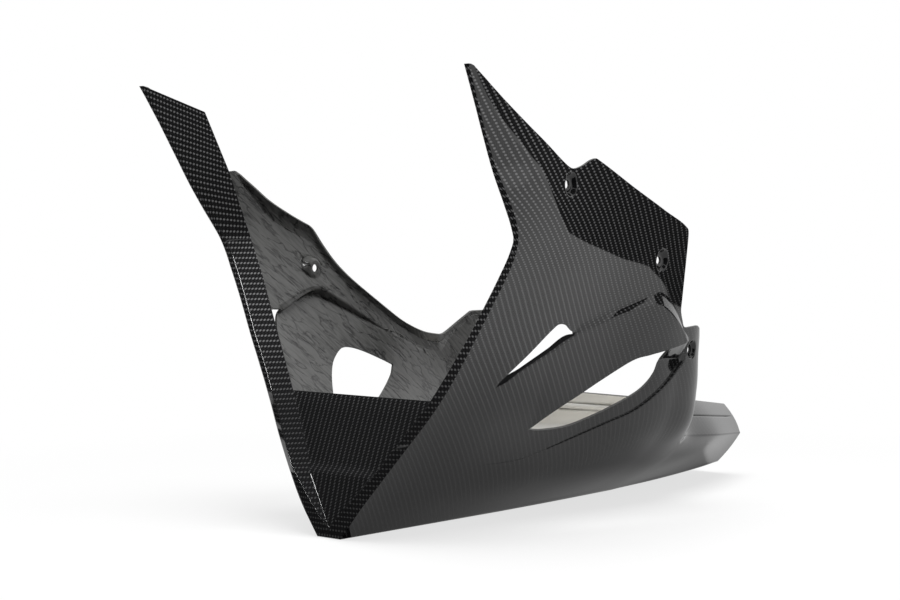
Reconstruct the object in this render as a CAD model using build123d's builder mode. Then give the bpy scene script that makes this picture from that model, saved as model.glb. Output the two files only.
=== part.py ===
"""Motorcycle belly pan: one moulded carbon-fibre laminate with a folded front collar, gill vents and a
boat tail.

Frame: +X towards the front wheel, +Y towards the rider's left, +Z up, millimetres. The keel stands on
Z = 0, the middle plane of the motorcycle is Y = 0, and X = 0 is halfway between the arm tips and the end of
the tail. "Back" below is the distance rearwards from the front point of the keel.
"""
import os
from math import hypot

from build123d import *

os.makedirs("parts", exist_ok=True)

# Driving dimensions
wall = 2.0  # thickness of the laminate
tip_lead = 41.0  # the arm tips reach this far ahead of the keel's front point
tail_back = 505.0  # end of the boat tail
arm_height = 341.0  # top of the two arms
panel_back = 331.0  # rear edge of both side panels
waist_back = 180.0  # station where the keel's vee has opened out into a rounder section
arm_root_back = 90.0  # station where the crease along the arm has run out
collar_back = 30.0  # station of the front section, at the collar
keel_half = 12.0  # half the width of the flat keel

# Front collar: a lip that faces forwards, then a flange folded back and inwards, closed low down by a
# cross wall
lip_width = 7.0
arm_lip_width = 5.0  # the lip narrows towards the arm tips
mouth_sill = 103.0  # top of the cross wall
collar_knee = 49.0  # fold across the cross wall
collar_bend = 222.0  # height where the arms turn forwards

# Boat tail: its upper faces lean inwards from a ridge
ridge_front = (93.0, 54.0)
ridge_end = (35.0, 40.0)
deck_front = (78.0, 86.0)
deck_end = (17.0, 66.0)

# Fixing holes: a dimple pressed into the laminate round a clearance hole for an M6 screw
screw_hole = 6.5
dimple_floor = 12.0
dimple_rim = 19.0
dimple_depth = 4.0
left_front_hole = (95.0, 262.0)  # back and up, as all side views below
left_middle_hole = (243.0, 204.0)
left_rear_hole = (311.0, 129.0)
right_front_hole = (117.0, 196.0)
right_rear_hole = (311.0, 136.0)

# Gills: how far the blades stand out of the panels, and how deep the scoop below the left vent is
left_blade_rise = 10.0
right_blade_rise = 8.0
scoop_depth = 6.0

# Working sizes, all well outside the pan
keel_front_x = (tail_back - tip_lead) / 2
clear = 60.0
mouth_back = 62.0  # the mouth is cut this far back, past the flange and short of everything else
vent_inside = 40.0  # vents start this far out from the middle plane
reach_y = 260.0
hull_top = arm_height + 21.0


def x_at(back):
    """X of a place given by its distance back from the keel's front point."""
    return keel_front_x - back


def side_points(outline):
    """Points (back, up) of a side view, as X and Z."""
    return [(x_at(back), up) for back, up in outline]


# Half sections of the hull, as (out from the middle, up), from the keel's edge to the crease line
front_section = [(keel_half, 0), (49, 46), (84, 94), (128, 169), (155, 222)]
root_section = [(keel_half, 0), (53, 43), (87, 88), (124, 160), (144, 205), (152.5, 233)]
waist_section = [(keel_half, 0), (60, 36), (92, 79), (118, 148), (131, 190), (139.5, 224)]
panel_section = [(keel_half, 1.5), (62, 28), (96, 60), (108, 128), (114, 180), (119.5, 222)]
tail_section = [(11, 5), (42, 27), (64, 48), (74, 120), (80, 180), (85, 222)]
end_section = [(9, 10), (20, 22), (33, 40), (40, 120), (46, 180), (50, 222)]

# Ribs of the hull: place back, half section, and how far out its top is
ribs = [
    (-tip_lead - 10, front_section + [(159, 272), (173.5, 348)], 172),
    (collar_back, front_section + [(161.5, 285)], 158),
    (arm_root_back, root_section, 155),
    (waist_back, waist_section, 143),
    (panel_back, panel_section, 123),
    (tail_back - 75, tail_section, 88),
    (tail_back + 10, end_section, 52),
]


def moved_in(points, depth):
    """A half section moved in by depth: each point along its own normal, the keel's edge to where both
    walls meet.
    """
    ends = [points[0]] + points + [points[-1]]
    moved = []
    for before, (out, up), after in zip(ends, points, ends[2:]):
        run, rise = after[0] - before[0], after[1] - before[1]
        length = hypot(run, rise)
        moved.append((out - depth * rise / length, up + depth * run / length))
    run, rise = points[1][0] - points[0][0], points[1][1] - points[0][1]
    length = hypot(run, rise)
    mitre = (rise - (length - run) * run / rise) / length
    moved[0] = (points[0][0] - depth * mitre, points[0][1] + depth)
    return moved


def hull(depths):
    """The closed hull lofted through its ribs, each moved in by its own depth."""
    with BuildPart() as body:
        for (back, points, top_out), depth in zip(ribs, depths):
            flank = moved_in(points, depth)
            head = (top_out - depth, hull_top + depth)
            foot_way = Vector(flank[1]) - Vector(flank[0])
            head_way = Vector(head) - Vector(flank[-1])
            if back < arm_root_back:
                head_way = Vector(flank[-1]) - Vector(flank[-2])
            with BuildSketch(Plane.YZ.offset(x_at(back))):
                with BuildLine():
                    Spline(*flank, tangents=[foot_way, head_way])
                    Polyline(flank[-1], head, (0, head[1]))
                    Line(flank[0], (0, flank[0][1]))
                    mirror(about=Plane.YZ)
                make_face()
        loft()
    return body.part


# Collar at its levels: up, back of the lip, its outer edge, its width, and the flange's inner edge, as back
# and out
collar = [
    (-clear, -2, 2, 1, -1.5, 0.5),
    (lip_width, -1, 2, 1, -0.5, 0.5),
    (collar_knee, 5.5, 51, lip_width, 17.5, 28),
    (mouth_sill, 20.8, 89, lip_width, 35, 75),
    (collar_bend - 30, 32.5, 141, lip_width, 47.5, 123),
    (collar_bend, 32.5, 155, lip_width, 49.5, 139),
    (arm_height + 9, -46.5, 174, arm_lip_width, -11, 145),
]


def front_hollow(skin):
    """The space ahead of the collar, grown by skin: its rear walls are the lip, the flange and the cross
    wall.
    """
    ahead = x_at(-tip_lead - clear)
    with BuildPart() as hollow:
        for up, lip_back, edge_out, lip, flange_back, flange_out in collar:
            half = [(ahead, reach_y), (x_at(lip_back), reach_y), (x_at(lip_back), edge_out - lip),
                    (x_at(flange_back), flange_out)]
            with BuildSketch(Plane.XY.offset(up)):
                with BuildLine():
                    Polyline(*half, *[(x, -out) for x, out in reversed(half)], close=True)
                make_face()
                if skin:
                    offset(amount=skin, kind=Kind.INTERSECTION)
        loft(ruled=True)
    return hollow.part


def tail_shoulder(skin):
    """The space outside the left upper face of the boat tail, grown by skin."""
    ends = [(panel_back, ridge_front, deck_front), (tail_back + 20, ridge_end, deck_end)]
    with BuildPart() as shoulder:
        for back, ridge, deck in ends:
            run, rise = deck[0] - ridge[0], deck[1] - ridge[1]
            low = (ridge[0] - run, ridge[1] - rise)
            high = (deck[0] + 2 * run, deck[1] + 2 * rise)
            with BuildSketch(Plane.YZ.offset(x_at(back))):
                with BuildLine():
                    Polyline(low, high, (reach_y, high[1]), (reach_y, low[1]), close=True)
                make_face()
                if skin:
                    offset(amount=skin, kind=Kind.INTERSECTION)
        loft(ruled=True)
        if skin:
            web = shoulder.faces().sort_by(Axis.X)[-1]
            with BuildSketch(Plane.YZ.offset(x_at(panel_back))):
                add(web)
                with Locations((0, deck_front[1])):
                    Rectangle(4 * reach_y, reach_y, align=(Align.CENTER, Align.MIN), mode=Mode.SUBTRACT)
            extrude(amount=skin)
    return shoulder.part


# Side views of the gills, as (back, up)
left_blade = [
    (96, 98), (138, 149), (240, 174), (262, 169), (305, 136), (262, 128), (240, 124), (219, 118), (166, 94),
    (129, 71),
]
left_scoop = [
    (94, 49), (142, 50), (242, 84), (301, 121), (305, 136), (240, 130), (219, 124), (166, 100), (128, 77),
]
left_slot = [(71, 114), (117, 157), (131, 155), (137, 149)]
left_vent = [
    (131, 75), (146, 72.5), (169, 78), (223, 98.5), (265, 125), (242, 128), (219, 122), (166, 98),
]
right_blade = [
    (50, 135), (68, 160), (112, 177), (124, 177), (188, 141), (186, 108), (138, 125), (120, 117), (98, 86),
    (62, 84),
]
right_slot = [(50, 146), (59, 162), (67, 158), (60, 146)]
right_vent = [(92, 92), (119, 124), (138, 130), (184, 113), (153, 88)]


def gill(outline, rises, skin, side):
    """A blade that stands out of one panel by its own rise at each rib, drawn in by skin."""
    raised = hull([skin - rise for rise in rises])
    with BuildPart() as blade:
        add(raised)
        with BuildSketch(Plane.XZ):
            with BuildLine():
                Polyline(*side_points(outline), close=True)
            make_face()
            if skin:
                offset(amount=-skin, kind=Kind.INTERSECTION)
        extrude(amount=-side * reach_y, mode=Mode.INTERSECT)
    return blade.part


def scoop(outline, depths, skin, side):
    """The hollow pressed into one panel below its vent, deepening along the ribs, grown by skin."""
    sunk = hull([depth + skin for depth in depths])
    with BuildPart() as dent:
        with BuildSketch(Plane.XZ):
            with BuildLine():
                Polyline(*side_points(outline), close=True)
            make_face()
            if skin:
                offset(amount=skin, kind=Kind.INTERSECTION)
        extrude(amount=-side * reach_y)
        add(sunk, mode=Mode.SUBTRACT)
    return dent.part


left_rises = [-4, -4, -2, 4, left_blade_rise, left_blade_rise, left_blade_rise]
right_rises = [right_blade_rise, right_blade_rise, 6, 0, -6, -6, -6]
scoop_depths = [-2, -2, -1, 3, scoop_depth, scoop_depth, scoop_depth]


def form(skin):
    """The pan's outer form as one filled body, drawn in by skin on every face."""
    bare = hull([skin] * len(ribs))
    dent = scoop(left_scoop, scoop_depths, skin, 1)
    shoulder = tail_shoulder(skin)
    hollows = [dent, front_hollow(skin), shoulder, mirror(shoulder, about=Plane.XZ)]
    blades = [gill(left_blade, left_rises, skin, 1), gill(right_blade, right_rises, skin, -1)]
    with BuildPart() as body:
        add(bare)
        add(hollows, mode=Mode.SUBTRACT)
        add(blades)
    return body.part


# Side views of what is kept of each half, as (back, up, corner radius): the arm, the top edge, the rear tab
tail_profile = [(panel_back, deck_front[1], 0), (tail_back, deck_end[1], 0), (tail_back, -clear, 0)]
front_profile = [(-tip_lead - clear, -clear, 0), (-tip_lead - clear, arm_height, 0), (-36, arm_height, 2)]
left_profile = front_profile + [
    (27, 307, 150), (90, 275, 12), (104, 273, 12), (130, 282, 2), (282, 229, 6), (281, 163, 8),
    (297, 147, 4), (320, 148, 8), (panel_back, 138, 8),
] + tail_profile
right_profile = front_profile + [
    (6, 319, 30), (40, 274, 6), (51, 278.5, 5), (95, 247.5, 50), (128, 231, 12), (154, 193, 60),
    (214, 147, 60), (244, 137, 30), (259, 136, 5), (299, 155, 8), (322, 155, 8), (panel_back, 145, 8),
] + tail_profile


def side_prism(outline, side):
    """A side view with rounded corners, carried out from the middle plane to one side."""
    corners = side_points([(back, up) for back, up, _ in outline])
    radii = [radius for _, _, radius in outline]
    with BuildPart() as prism:
        with BuildSketch(Plane.XZ):
            with BuildLine():
                FilletPolyline(*corners, radius=radii, close=True)
            make_face()
        extrude(amount=-side * reach_y)
    return prism.part


def vent(outline, side):
    """An opening through one panel, its corners rounded."""
    with BuildPart() as opening:
        with BuildSketch(Plane.XZ.offset(-side * vent_inside)):
            with BuildLine():
                Polyline(*side_points(outline), close=True)
            make_face()
        extrude(amount=-side * (reach_y - vent_inside))
    return opening.part


def dimple(place, seat_out, side, skin):
    """The pressed hollow round a fixing hole, grown by skin: a cone from its floor out through the panel."""
    back, up = place
    floor_out = seat_out - dimple_depth - skin
    slope = (dimple_rim - dimple_floor) / 2 / dimple_depth
    with BuildPart() as cone:
        for out in (floor_out, seat_out + dimple_depth):
            radius = dimple_floor / 2 + skin + slope * (out - floor_out)
            with BuildSketch(Plane.XZ.offset(-side * out)):
                with Locations((x_at(back), up)):
                    Circle(radius)
        loft()
    return cone.part


def seat(body, place, side):
    """How far out from the middle plane a panel's outer face lies at a fixing hole."""
    back, up = place
    hits = body.find_intersection_points(Axis((x_at(back), 0, up), (0, side, 0)))
    return max(side * point.Y for point, _ in hits)


def screw_bore(place, seat_out, side):
    """The clearance hole through the floor of a dimple."""
    back, up = place
    with BuildPart() as bore:
        with BuildSketch(Plane.XZ.offset(-side * (seat_out - 2 * dimple_depth))):
            with Locations((x_at(back), up)):
                Circle(screw_hole / 2)
        extrude(amount=-side * 2 * dimple_depth)
    return bore.part


outer = form(0)
holes = [(left_front_hole, 1), (left_middle_hole, 1), (left_rear_hole, 1)]
holes += [(right_front_hole, -1), (right_rear_hole, -1)]
fixings = [(place, seat(outer, place, side), side) for place, side in holes]
cups = [dimple(*fixing, wall) for fixing in fixings]
pockets = [dimple(*fixing, 0) for fixing in fixings]
bores = [screw_bore(*fixing) for fixing in fixings]
vents = [vent(left_slot, 1), vent(left_vent, 1), vent(right_slot, -1), vent(right_vent, -1)]
halves = [side_prism(left_profile, 1), side_prism(right_profile, -1)]

# What the laminate goes round: the inner form, less the cups that the dimples leave inside
inner = form(wall)
with BuildPart() as hollow:
    add(inner)
    add(cups, mode=Mode.SUBTRACT)

# The mouth between the flanges, above the cross wall
with BuildPart() as mouth:
    with BuildSketch(Plane.YZ.offset(x_at(mouth_back))):
        with BuildLine():
            edge = [(flange_out + wall, up) for up, _, _, _, _, flange_out in collar if up >= mouth_sill]
            Polyline(*edge, *[(-out, up) for out, up in reversed(edge)], close=True)
        make_face()
    extrude(amount=x_at(-tip_lead - clear) - x_at(mouth_back))

# Both halves kept to their side views
with BuildPart() as kept:
    add(halves)

with BuildPart() as belly_pan:
    add(outer)
    add(kept.part, mode=Mode.INTERSECT)
    add([hollow.part, mouth.part, *pockets, *bores, *vents], mode=Mode.SUBTRACT)

belly_pan.part.label = "belly_pan"
export_step(belly_pan.part, "parts/belly_pan.step")
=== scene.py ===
import bmesh
import bpy
import numpy as np
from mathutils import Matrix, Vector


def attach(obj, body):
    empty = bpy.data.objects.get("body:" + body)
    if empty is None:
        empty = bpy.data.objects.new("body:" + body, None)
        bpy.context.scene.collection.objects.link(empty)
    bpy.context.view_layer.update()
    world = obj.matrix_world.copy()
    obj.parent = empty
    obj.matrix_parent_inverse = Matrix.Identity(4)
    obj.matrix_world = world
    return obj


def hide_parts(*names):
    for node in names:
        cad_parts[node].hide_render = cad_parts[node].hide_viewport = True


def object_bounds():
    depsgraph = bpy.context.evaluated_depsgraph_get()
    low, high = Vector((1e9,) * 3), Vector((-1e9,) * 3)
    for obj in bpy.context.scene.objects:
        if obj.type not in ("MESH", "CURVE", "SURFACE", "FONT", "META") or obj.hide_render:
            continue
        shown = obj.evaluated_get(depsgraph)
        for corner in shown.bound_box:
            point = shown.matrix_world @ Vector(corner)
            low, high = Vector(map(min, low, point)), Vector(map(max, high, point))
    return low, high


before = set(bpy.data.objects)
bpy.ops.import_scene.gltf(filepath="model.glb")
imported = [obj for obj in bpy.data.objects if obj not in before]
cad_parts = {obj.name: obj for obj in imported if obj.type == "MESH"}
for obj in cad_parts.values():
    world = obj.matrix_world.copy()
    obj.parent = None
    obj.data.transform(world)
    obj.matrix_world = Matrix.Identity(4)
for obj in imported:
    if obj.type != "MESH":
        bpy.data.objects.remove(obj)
cad_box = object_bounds()


# Hull form. The pan is laid up in one mould, so both side panels, the keel and the boat tail lie on one vee
# hull that opens from a flat keel. Below, "back" is millimetres rearwards from the keel's front point, "up"
# is the height and "out" the distance from the middle plane.
RIB_BACK = np.array([-51.0, 30, 90, 180, 285, 331, 345, 430, 515])
RIBS = [
    [(12, 0), (49, 46), (84, 94), (128, 169), (155, 222), (160, 272), (171.4, 348), (173.6, 362)],
    [(12, 0), (49, 46), (84, 94), (128, 169), (155, 222), (162, 285), (168, 362)],
    [(12, 0), (53, 43), (87, 88), (124, 160), (144, 205), (152.2, 233), (158.5, 270), (171, 362)],
    [(12, 0), (60, 36), (92, 79), (118, 148), (131, 190), (135.7, 206), (149.8, 262), (166.8, 362)],
    [(12.6, 1.3), (62.4, 28), (96.2, 60), (110.6, 95), (113.7, 128), (121.1, 164.3), (132.5, 222),
     (149.2, 362)],
    [(12, 1.5), (62, 28), (94.5, 60), (103.5, 95), (105.5, 128), (108.3, 150), (121, 180), (127.5, 222),
     (144, 362)],
    [(11.9, 2), (60, 28), (87, 60), (95, 95), (96.5, 128), (99.5, 150), (117, 180), (125, 222), (142, 362)],
    [(11, 5), (42, 27), (64, 48), (74, 120), (80, 180), (85, 222), (88, 362)],
    [(9, 10), (20, 22), (33, 40), (40, 120), (46, 180), (50, 222), (52, 362)],
]
KEEL_FRONT_X = 232.0
ARM_CREASE = [
    (-60, 362), (-36, 343), (15, 302), (53, 270), (83, 240), (98, 229), (115, 224), (144, 216), (190, 203),
    (226, 197), (250, 186), (279, 168), (331, 140),
]
CREASE_SLOPE = [(-60, 0.14), (40, 0.15), (100, 0.15), (180, 0.14), (285, 0.08), (331, 0.03), (345, 0)]
CREASE_WIDTH = [(80, 2), (130, 5)]


def smooth_through(knots, values, at):
    """Cubic Hermite curve through values at knots, whose slope at each knot is that of the parabola through
    it and its two neighbours; values may hold one row per knot for a different curve at every place."""
    knots = np.asarray(knots, float)
    at = np.clip(at, knots[0], knots[-1])
    values = np.asarray(values, float)
    if values.ndim == 1:
        values = values.reshape((-1,) + (1,) * at.ndim) * np.ones((1,) + at.shape)
    step = np.diff(knots).reshape((-1,) + (1,) * at.ndim)
    rate = np.diff(values, axis=0) / step
    inner = (rate[:-1] * step[1:] + rate[1:] * step[:-1]) / (step[:-1] + step[1:])
    slope = np.concatenate([rate[:1], inner, rate[-1:]])
    k = np.clip(np.searchsorted(knots, at, side="right") - 1, 0, len(knots) - 2)
    span = knots[k + 1] - knots[k]
    t = (at - knots[k]) / span

    def at_knot(table, knot):
        return np.take_along_axis(table, knot[None], axis=0)[0]

    return (
        (2 * t**3 - 3 * t**2 + 1) * at_knot(values, k)
        + (t**3 - 2 * t**2 + t) * span * at_knot(slope, k)
        + (3 * t**2 - 2 * t**3) * at_knot(values, k + 1)
        + (t**3 - t**2) * span * at_knot(slope, k + 1)
    )


def flank(back, up):
    """Distance out of the hull's surface: a curve over the height in every rib, then a curve through the
    ribs, less the lean of the face above the crease, which starts softly over the crease's width."""
    ribs = np.stack([smooth_through([z for _, z in rib], [y for y, _ in rib], up) for rib in RIBS])
    crease_back, crease_up = np.array(ARM_CREASE, float).T
    above = up - np.interp(back, crease_back, crease_up)
    lean = np.interp(back, *np.array(CREASE_SLOPE).T)
    width = np.interp(back, *np.array(CREASE_WIDTH).T)
    return smooth_through(RIB_BACK, ribs, back) - lean * np.logaddexp(0, above / width) * width


GIRTH_STEPS = 40


def girth(back, up):
    """Length of the section's line from the keel up to a place: the sum of its slant steps over even
    heights."""
    heights = np.linspace(0, 1, GIRTH_STEPS + 1).reshape((-1,) + (1,) * np.ndim(up)) * up
    out = flank(np.broadcast_to(back, heights.shape), heights)
    return np.hypot(np.diff(out, axis=0), np.diff(heights, axis=0)).sum(axis=0)


KEEL_BACK = [180, 331, 430, 505]
KEEL_UP = [0, 1.5, 5, 10.5]


def keel_up(back):
    """Height of the keel: level under the panels, rising towards the end of the tail."""
    return np.interp(back, KEEL_BACK, KEEL_UP)


CLOTH_GIRTH = [0, 60, 190, 232, 300]
ALONG_RATE = [0.80, 0.76, 0.60, 0.59, 0.476]
UP_RATE = [0.66, 0.66, 0.54, 0.56, 0.464]
FAN_BACK = 130.0
GIRTH_LIMIT = 460
PULL_BACK = [190, 250, 345, 515]
PULL_RATE = [0, 0.26, 0.35, 0.35]
PULL_GIRTH = [70, 130]


def tows(back, up):
    """Place on the cloth, counted in tows. Along the panel it is the distance from the fan's middle times a
    rate that falls towards the arms, and low down at the rear the cloth is pulled closer, a further rate
    summed over the distance; up the panel it is the rate summed over the girth."""
    around = girth(back, up)
    along = smooth_through(CLOTH_GIRTH, ALONG_RATE, around) * (back - FAN_BACK)
    run = np.arange(PULL_BACK[-1] + 1)
    pulled = np.interp(back, run, np.cumsum(np.interp(run, PULL_BACK, PULL_RATE)))
    along = along + pulled * np.interp(around, PULL_GIRTH, [1, 0])
    steps = np.arange(GIRTH_LIMIT)
    climb = np.cumsum(smooth_through(CLOTH_GIRTH, UP_RATE, steps))
    return np.stack([along, np.interp(around, steps, climb)], axis=-1)


sheets = []


def lay(points, cloth, keep=None, turned=False):
    """Adds one grid of the laminate: points (columns, rows, 3) in millimetres as back, out, up, its place
    on the cloth in tows, and which of its cells are there."""
    columns, rows = points.shape[:2]
    index = np.arange(columns * rows).reshape(columns, rows)
    cells = np.stack([index[:-1, :-1], index[1:, :-1], index[1:, 1:], index[:-1, 1:]], axis=-1)
    cells = cells.reshape(-1, 4) if keep is None else cells[keep]
    sheets.append((points.reshape(-1, 3), cloth.reshape(-1, 2), cells[:, ::-1] if turned else cells))


# Side panels. Each is a sheet on the hull between the front edge and the rear tab, with a gill in it: a
# blade that lifts off the panel, a slot above the blade's front end and a vent below it, pressed in one
# with the rest.
FRONT_UP = [
    0, 4.4, 23.7, 46, 69, 93.7, 118.6, 144, 169.5, 195, 211, 222, 233, 246, 269, 293, 317, 341,
]
FRONT_BACK = [
    -1.6, -1.4, 0, 4.9, 11, 18.4, 23.7, 26.7, 29.9, 32.3, 32.6, 30.5, 25, 16.4, 0.4, -13.7, -27, -40.8,
]
# Stations count along every line from the panel's front edge, 0, to the rear end of the tab, 11. The first
# ones lie close together, so that the front edge reads as rounded.
EDGE_STATIONS = [0, 0.012, 0.035, 0.07, 0.12, 0.2, 0.3]
EVEN_STATION = 0.4
TAB_STATION = 9
LAST_STATION = 11
PANEL_COLUMNS = 140
STATIONS = np.concatenate([EDGE_STATIONS, np.linspace(EVEN_STATION, LAST_STATION, PANEL_COLUMNS)])
END_ROWS = np.array([0.0, 0.04, 0.12])
KEEL_ROWS = 8
RIDGE_ROWS = 10
FRONT_BEND = 1.3
SAME_HEIGHT = 1e-6
in_tab = STATIONS >= TAB_STATION


def rows_between(count):
    """Fractions from one line to the next: even, with close rows at both ends so that folds read as
    rounded."""
    middle = np.linspace(END_ROWS[-1], 1 - END_ROWS[-1], count)[1:-1]
    return np.concatenate([END_ROWS, middle, 1 - END_ROWS[::-1]])


def drawn(front_up, stops, tab):
    """A line across the panel from its front edge: distance back, height and lift off the hull at every
    station, as a curve through stops (station, back, up, lift), then straight through those in the rear
    tab, level with the hull."""
    front_back = smooth_through(FRONT_UP, FRONT_BACK, np.array([front_up], float))[0]
    station, *places = np.array([(0, front_back, front_up, 0)] + stops, float).T
    tab_station, *tab_places = np.array([stop + (0,) for stop in tab], float).T
    curve = np.stack([smooth_through(station, place, STATIONS) for place in places])
    return np.where(in_tab, [np.interp(STATIONS, tab_station, place) for place in tab_places], curve)


def strip(lower, upper, rows):
    """Grid between two lines, even up the columns; the first columns bend so that the front one lies on the
    panel's front edge, a bend that dies away until station 1."""
    back, up, lift = lower[..., None] * (1 - rows) + upper[..., None] * rows
    edge = smooth_through(FRONT_UP, FRONT_BACK, up[0])
    bend = np.clip(1 - STATIONS, 0, 1) ** FRONT_BEND
    return back + bend[:, None] * (edge - back[0]), up, lift


WINDOW_GAP = 0.8
FLOOR_SHARE = 0.62
HOLE_RADIUS = 3.25
RIM_RINGS = np.array([0.4, 0, -0.5, -1.1])
FLOOR_RINGS = np.array([0.9, 0.3, -0.4])
HOLE_RINGS = np.array([1.15, 0.35, 0])
RING_DEPTH = np.array([0, 0, 0, 0.25, 1.1, 3.2, 3.8, 4.0, 4.0, 4.0, 4.0])
CLOTH_RINGS = 4


def dimple(back, up, lift, hole, keep, side):
    """The pressed seat round a screw hole: the cells near it are left out, and rings run from the edge of
    that window to a circle, then down a rounded cone to a flat floor and in to the hole. The cloth ends at
    the cone."""
    centre_back, centre_up, rim = hole
    near = np.hypot(back - centre_back, up - centre_up) < rim + WINDOW_GAP
    columns, rows = np.flatnonzero(near.any(axis=1)), np.flatnonzero(near.any(axis=0))
    i0, i1 = columns[0] - 1, columns[-1] + 1
    j0, j1 = rows[0] - 1, min(rows[-1] + 1, back.shape[1] - 1)
    keep[i0:i1, j0:j1] = False
    across, along = np.arange(i0, i1), np.arange(j0, j1)
    loop_i = np.concatenate([across, np.full(j1 - j0, i1), across[::-1] + 1, np.full(j1 - j0, i0), [i0]])
    loop_j = np.concatenate([np.full(i1 - i0, j0), along, np.full(i1 - i0, j1), along[::-1] + 1, [j0]])
    rim_back, rim_up = back[loop_i, loop_j] - centre_back, up[loop_i, loop_j] - centre_up
    reach = np.hypot(rim_back, rim_up)
    radius = np.concatenate([rim + RIM_RINGS, FLOOR_SHARE * rim + FLOOR_RINGS, HOLE_RADIUS + HOLE_RINGS])
    scale = np.concatenate([[np.ones_like(reach)], radius[:, None] / reach])
    ring_back, ring_up = centre_back + rim_back * scale, centre_up + rim_up * scale
    sunk = (RING_DEPTH / RING_DEPTH[-1])[:, None]
    seat = flank(np.array([centre_back]), np.array([centre_up]))
    panel_out = flank(ring_back, ring_up) + lift[loop_i, loop_j]
    out = (1 - sunk) * panel_out + sunk * seat - RING_DEPTH[:, None]
    points = np.stack([ring_back, side * out, ring_up], axis=-1).swapaxes(0, 1)
    cloth = tows(ring_back, ring_up).swapaxes(0, 1)
    cone = CLOTH_RINGS - 1
    lay(points[:, :CLOTH_RINGS], cloth[:, :CLOTH_RINGS], turned=side < 0)
    lay(points[:, cone:], 0 * cloth[:, cone:], turned=side < 0)


def panel(side, lines, counts, gaps, holes, plain):
    """Lays the strips between neighbouring lines, with the gaps left open over their stations and the screw
    holes (back, up, rim radius) pressed in; plain strips are rolled edges, where resin hides the cloth as
    far as a station. All three are kept by the strip's number. Gives back the front edge's points."""
    edge = []
    middle = (STATIONS[:-1] + STATIONS[1:]) / 2
    for number, (lower, upper, count) in enumerate(zip(lines, lines[1:], counts)):
        back, up, lift = strip(lower, upper, rows_between(count))
        first, last = gaps.get(number, (0, 0))
        keep = np.repeat(((middle < first) | (middle > last))[:, None], back.shape[1] - 1, axis=1)
        for hole in holes.get(number, []):
            dimple(back, up, lift, hole, keep, side)
        points = np.stack([back, side * (flank(back, up) + lift), up], axis=-1)
        woven = STATIONS > plain.get(number, -1)
        lay(points, tows(back, up) * woven[:, None, None], keep, turned=side < 0)
        edge.append(points[0])
    edge = np.concatenate(edge)
    return edge[np.concatenate([[True], np.diff(edge[:, 2]) > SAME_HEIGHT])]


KEEL_STOPS = [-1.6, 40, 71, 100, 125, 160, 205, 245, 275, 300, 316, 331]
keel_back = np.interp(STATIONS, np.arange(len(KEEL_STOPS)), KEEL_STOPS)
keel_line = np.stack([keel_back, keel_up(keel_back), 0 * keel_back])
ridge_line = drawn(
    24,
    [(1, 40, 27, 0), (2, 71, 30, 0), (3, 100, 32, 0), (4, 125, 34, 0), (5, 160, 38, 0), (6, 205, 43, 0),
     (7, 245, 47, 0), (8, 275, 50, 0), (9, 300, 52, 0)],
    [(9, 300, 52), (10, 316, 53), (11, 331, 54)],
)

RECESS_WALL = 0.6
RECESS_DEPTH = 2.2
RECESS_BACK = [96, 300]
VENT_STATIONS = (3, 8)
SLOT_STATIONS = (1, 4)
BLADE_TAB = [(9, 304, 136), (10, 318, 145.5), (11, 331, 136.5)]
recess_line = drawn(
    49,
    [(1, 50, 48, 0), (2, 94, 48.5, 0), (3, 125, 49, 0), (4, 144, 51, 0), (5, 180, 62.5, 0),
     (6, 215, 74.5, 0), (7, 242, 84, 0), (8, 272, 102, 0), (9, 300, 121, 0)],
    [(9, 300, 121), (10, 316, 100), (11, 331, 86)],
)
recess_share = np.interp(recess_line[0], RECESS_BACK, [0, 1]) * ~in_tab
recess_floor = recess_line + [0 * STATIONS, RECESS_WALL * (recess_share > 0), -RECESS_DEPTH * recess_share]
vent_low = drawn(
    76,
    [(1, 55, 76, 0), (2, 100, 76, 0), (3, 131, 75.5, -0.1), (3.4, 140, 74.2, -0.3),
     (4, 151.4, 73.7, -0.5), (5, 180, 76, -1), (5.5, 198.3, 81.5, -1.5), (6, 218, 89, -1.8),
     (7, 247.5, 103, -2.3), (7.6, 260.2, 114, -2.5), (8, 266, 122.5, -2.6), (8.5, 283, 123, -2.8),
     (9, 299, 122.6, -3)],
    BLADE_TAB,
)
blade_low = drawn(
    76,
    [(1, 55, 76, 0), (2, 100, 76, 0), (3, 131, 75.5, -0.1), (3.4, 139, 82, 0.5), (4, 150, 89.7, 0.9),
     (5, 172, 102, 1.7), (5.5, 190, 111.3, 2.2), (6, 215, 122.5, 2.8), (7, 243, 128.3, 3.5),
     (7.6, 258, 130.3, 4.1), (8, 267, 131.8, 4.4), (8.5, 281, 133.8, 4.8), (9, 294, 135.9, 5)],
    BLADE_TAB,
)
blade_low = np.where(STATIONS <= VENT_STATIONS[0], vent_low, blade_low)
blade_top = drawn(
    103,
    [(1, 72.2, 112.3, 0), (2, 92, 123.6, 0), (3, 117, 136.4, 0.2), (4, 142.5, 148.7, 0.8),
     (4.5, 167, 155.5, 1.4), (5, 194, 162.8, 2), (5.5, 216, 166, 2.3), (6, 232, 168.3, 2.6),
     (6.5, 244, 168.5, 3), (7, 254, 166, 3.3), (7.4, 264.5, 160.3, 3.7), (8, 282, 148.5, 4.4),
     (8.6, 290.4, 140.5, 4.9), (9, 294.3, 136.6, 5)],
    BLADE_TAB,
)
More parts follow.
